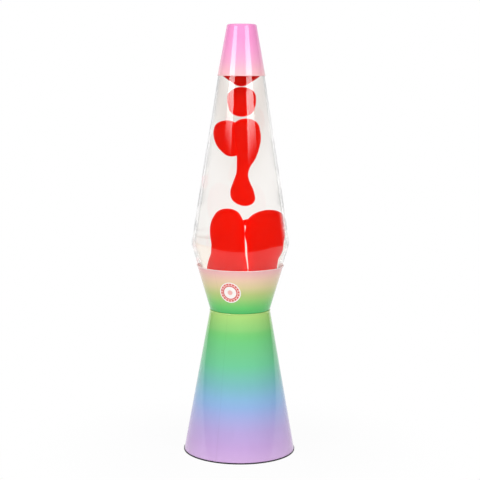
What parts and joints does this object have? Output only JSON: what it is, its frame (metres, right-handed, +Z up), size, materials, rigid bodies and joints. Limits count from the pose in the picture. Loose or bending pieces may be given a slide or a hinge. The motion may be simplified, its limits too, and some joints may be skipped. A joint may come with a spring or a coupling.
{
  "type": "liquid motion lamp",
  "caption": "Table lamp with a tapered glass bottle of clear liquid and floating wax on a waisted two-cone metal base, with a metal cap and a screw bulb inside.",
  "frame": {"origin": "centre of the base at the table, on the lamp's axis", "axes": "+Z up along the lamp's axis, front towards -Y, cable bush towards +Y"},
  "size_m": [0.1052, 0.1052, 0.4],
  "materials": {
    "gradient_enamel": "smooth gloss print, pastel bands",
    "cap_enamel": "smooth gloss lacquer",
    "black_rubber": "matt moulded",
    "black_plate": "satin powder coat",
    "zinc_steel": "zinc plated",
    "nickel_brass": "bright pressed",
    "holder_ceramic": "glazed",
    "silicone": "matt silicone",
    "black_bush": "moulded nylon",
    "sticker_paper": "gloss coated paper with red rings",
    "bulb_glass": "clear front, silvered neck",
    "bulb_metal": "rolled",
    "black_glass": "black vitrite",
    "tungsten": "drawn wire",
    "solder": "soldered",
    "bottle_glass": "clear moulded glass",
    "clear_liquid": "clear liquid",
    "red_wax": "smooth molten wax",
    "crown_steel": "tin plated",
    "liner": "soft",
    "coil_steel": "drawn spring wire"
  },
  "bodies": {
    "base": {"lower_cone": "gradient_enamel", "upper_cup": "gradient_enamel", "waist_eyelet": "zinc_steel", "bottle_seat_ring": "silicone", "foot_ring": "black_rubber", "bottom_plate": "black_plate", "plate_tabs": "zinc_steel", "plate_screws": "zinc_steel", "holder_strap": "zinc_steel", "strap_screws": "zinc_steel", "strap_nuts": "zinc_steel", "holder_nipple": "zinc_steel", "holder_lock_nut": "zinc_steel", "holder_body": "holder_ceramic", "holder_threaded_shell": "nickel_brass", "holder_centre_contact": "nickel_brass", "holder_terminal_screws": "nickel_brass", "cable_bush": "black_bush", "round_sticker": "sticker_paper"},
    "bulb_tip": {"bulb_foot_contact": "solder"},
    "bulb": {"bulb_envelope": "bulb_glass", "bulb_stem": "bulb_glass", "bulb_leads": "tungsten", "bulb_filament": "tungsten", "bulb_screw_shell": "bulb_metal", "bulb_insulator": "black_glass"},
    "bottle": {"bottle_glass": "bottle_glass", "crown_cap": "crown_steel", "crown_liner": "liner", "liquid": "clear_liquid", "wax_top_pool": "red_wax", "wax_bottom_mass": "red_wax", "coil_ring": "coil_steel"},
    "round_blob": {"wax_round_blob": "red_wax"},
    "long_blob": {"wax_long_blob": "red_wax"},
    "cap": {"cap_shell": "cap_enamel"}
  },
  "joints": [
    {"name": "bottle_lift", "type": "slide", "parent": "base", "child": "bottle", "axis": [0, 0, 1], "range_m": [0, 0.12]},
    {"name": "cap_lift", "type": "slide", "parent": "bottle", "child": "cap", "axis": [0, 0, 1], "range_m": [0, 0.06]},
    {"name": "bulb_lift", "type": "slide", "parent": "base", "child": "bulb_tip", "axis": [0, 0, 1], "range_m": [0, 0.0121]},
    {"name": "bulb_turn", "type": "hinge", "parent": "bulb_tip", "child": "bulb", "pos_m": [0, 0, 0.0725], "axis": [0, 0, 1], "range_deg": [0, 1530]},
    {"name": "round_blob_drift", "type": "slide", "parent": "bottle", "child": "round_blob", "axis": [0, 0, 1], "range_m": [-0.0006, 0.0002], "deforming": ["liquid"]},
    {"name": "long_blob_drift", "type": "slide", "parent": "bottle", "child": "long_blob", "axis": [0, 0, 1], "range_m": [-0.002, 0.0002], "deforming": ["liquid"]}
  ],
  "couplings": [
    {"joint": "bulb_lift", "follows": "bulb_turn", "m_per_rad": 0.00044913}
  ]
}
